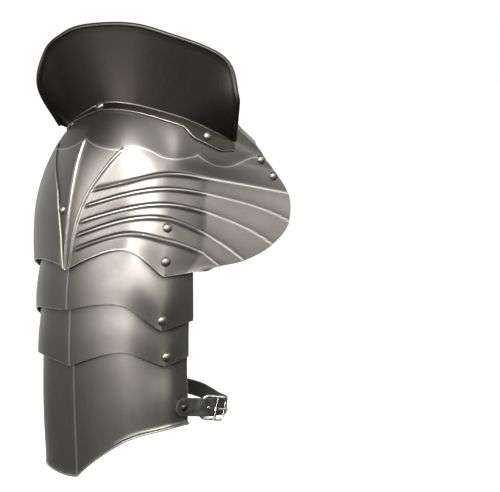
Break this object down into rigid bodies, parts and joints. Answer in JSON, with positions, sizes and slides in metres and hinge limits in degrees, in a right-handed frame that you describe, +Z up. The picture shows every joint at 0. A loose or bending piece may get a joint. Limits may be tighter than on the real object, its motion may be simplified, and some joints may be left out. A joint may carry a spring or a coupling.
{
  "type": "pauldron",
  "caption": "Steel pauldron for a right shoulder: fluted shoulder plate with an upright neck guard, pivoting lames, a ridged arm plate and a buckled leather strap.",
  "frame": {"origin": "the point of the wearer's shoulder, close under the crown of the shoulder plate at the foot of the neck guard", "axes": "+X to the wearer's neck, -Y to the front, +Z up"},
  "size_m": [0.1823, 0.1811, 0.3815],
  "materials": {
    "steel": "darkened polished steel",
    "dark_steel": "blackened steel",
    "nickel": "bright nickel plate",
    "leather": "smooth black leather"
  },
  "bodies": {
    "shoulder": {"shoulder_plate": "steel", "neck_guard": "dark_steel", "upper_hinge_rivet_front": "steel", "upper_hinge_rivet_back": "steel", "wing_rivet": "steel", "ridge_rivet": "steel", "neck_rivet_1": "steel", "neck_rivet_2": "steel", "guard_rivet_front": "steel", "guard_rivet_middle": "steel"},
    "first_lame": {"upper_lame": "steel", "lower_hinge_rivet_front": "steel", "lower_hinge_rivet_back": "steel"},
    "second_lame": {"lower_lame": "steel", "arm_hinge_rivet_front": "steel", "arm_hinge_rivet_back": "steel"},
    "arm": {"arm_plate": "steel", "strap_tab": "leather", "strap_billet": "leather", "strap_rivet_front": "dark_steel", "strap_rivet_back": "dark_steel", "strap_stud": "nickel", "buckle_frame": "nickel", "buckle_prong": "nickel"}
  },
  "joints": [
    {"name": "upper_pivot", "type": "hinge", "parent": "shoulder", "child": "first_lame", "pos_m": [0.00575, 0.00192, -0.1297], "axis": [-0.0045, 0.9765, -0.2156], "range_deg": [0, 6]},
    {"name": "lower_pivot", "type": "hinge", "parent": "first_lame", "child": "second_lame", "pos_m": [-0.00017, 0.00115, -0.17502], "axis": [-0.0012, 0.978, -0.2084], "range_deg": [0, 6]},
    {"name": "arm_pivot", "type": "hinge", "parent": "second_lame", "child": "arm", "pos_m": [0.00399, 0.00107, -0.20524], "axis": [-0.0007, 0.978, -0.2086], "range_deg": [0, 6]}
  ]
}
